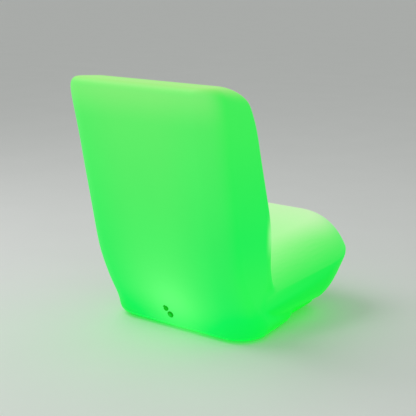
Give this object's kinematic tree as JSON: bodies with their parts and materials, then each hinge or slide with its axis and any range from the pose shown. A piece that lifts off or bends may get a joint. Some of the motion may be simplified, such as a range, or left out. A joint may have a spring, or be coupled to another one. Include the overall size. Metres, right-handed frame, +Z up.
{
  "type": "light-up lounge seat",
  "caption": "Hollow moulded lounge seat with a leaning back rest, domed cushion form and inset rear lobe, lit green from inside by a rechargeable light module in its base.",
  "frame": {"origin": "on the floor under the middle of the whole seat", "axes": "+Z up, +Y the way a sitter faces, +X to the sitter's right"},
  "size_m": [0.6282, 0.7988, 0.8],
  "materials": {
    "shell_glow": "satin, translucent, rotationally moulded, lit green from inside",
    "hatch_plastic": "satin moulded",
    "cover_plastic": "satin moulded",
    "tray_plastic": "satin moulded",
    "pad_rubber": "matt",
    "seal_rubber": "matt",
    "insert_brass": "machined",
    "pillar_brass": "machined",
    "screw_steel": "zinc plated",
    "plate_aluminium": "rolled sheet",
    "board_white": "white solder mask",
    "board_green": "green solder mask",
    "chip_light": "clear resin over phosphor, lit",
    "chip_black": "moulded resin and metal cans",
    "plug_white": "natural nylon",
    "dome_opal": "frosted opal, lit",
    "cell_wrap": "plastic film over steel",
    "sleeve_film": "shrunk film",
    "nickel_strip": "nickel strip",
    "strap_fabric": "woven loop band",
    "vent_plastic": "moulded",
    "membrane_white": "porous film",
    "switch_plastic": "moulded, seen green in the seat's own light",
    "button_plastic": "translucent moulded",
    "socket_plastic": "moulded, seen green in the seat's own light",
    "cap_rubber": "satin, seen green in the seat's own light",
    "nut_plastic": "moulded",
    "contact_metal": "tinned",
    "spring_steel": "drawn wire",
    "lead_jacket": "smooth jacket",
    "plug_black": "moulded"
  },
  "bodies": {
    "seat": {"seat_shell": "shell_glow", "hatch_inserts": "insert_brass", "foot_inserts": "insert_brass", "foot_pads": "pad_rubber", "foot_screws": "screw_steel", "breather_plug": "vent_plastic", "breather_membrane": "membrane_white", "base_hatch": "hatch_plastic", "hatch_gasket": "seal_rubber", "hatch_screws": "screw_steel", "module_pillars": "pillar_brass", "heat_plate": "plate_aluminium", "light_board": "board_white", "light_chips": "chip_light", "light_plug": "plug_white", "diffuser_dome": "dome_opal", "module_screws": "screw_steel", "battery_tray": "tray_plastic", "tray_screws": "screw_steel", "battery_cells": "cell_wrap", "battery_sleeve": "sleeve_film", "battery_links": "nickel_strip", "battery_guard": "board_green", "battery_strap": "strap_fabric", "control_board": "board_green", "control_parts": "chip_black", "receiver_board": "board_green", "board_screws": "screw_steel", "board_plugs": "plug_white", "control_cover": "cover_plastic", "cover_screws": "screw_steel", "switch_body": "switch_plastic", "switch_spring": "spring_steel", "switch_contacts": "contact_metal", "switch_seal": "seal_rubber", "switch_nut": "nut_plastic", "switch_plug": "plug_black", "socket_body": "socket_plastic", "socket_pin": "contact_metal", "socket_terminal": "contact_metal", "socket_seal": "seal_rubber", "socket_nut": "nut_plastic", "socket_plug": "plug_black", "cap_hinge_pin": "screw_steel", "switch_lead": "lead_jacket", "charge_lead": "lead_jacket", "battery_lead": "lead_jacket", "light_lead": "lead_jacket"},
    "button": {"switch_button": "button_plastic", "switch_bridge": "contact_metal"},
    "cap": {"socket_cap": "cap_rubber"}
  },
  "joints": [
    {"name": "switch_press", "type": "slide", "parent": "seat", "child": "button", "axis": [0, 0.9295, 0.3688], "range_m": [0, 0.002], "stiffness_N_per_m": 900, "springref_m": -0.0012, "deforming": ["switch_spring"]},
    {"name": "cap_swing", "type": "hinge", "parent": "seat", "child": "cap", "pos_m": [-0.02073, -0.24403, 0.08128], "axis": [-0.8904, 0.1679, -0.4231], "range_deg": [0, 115]}
  ]
}
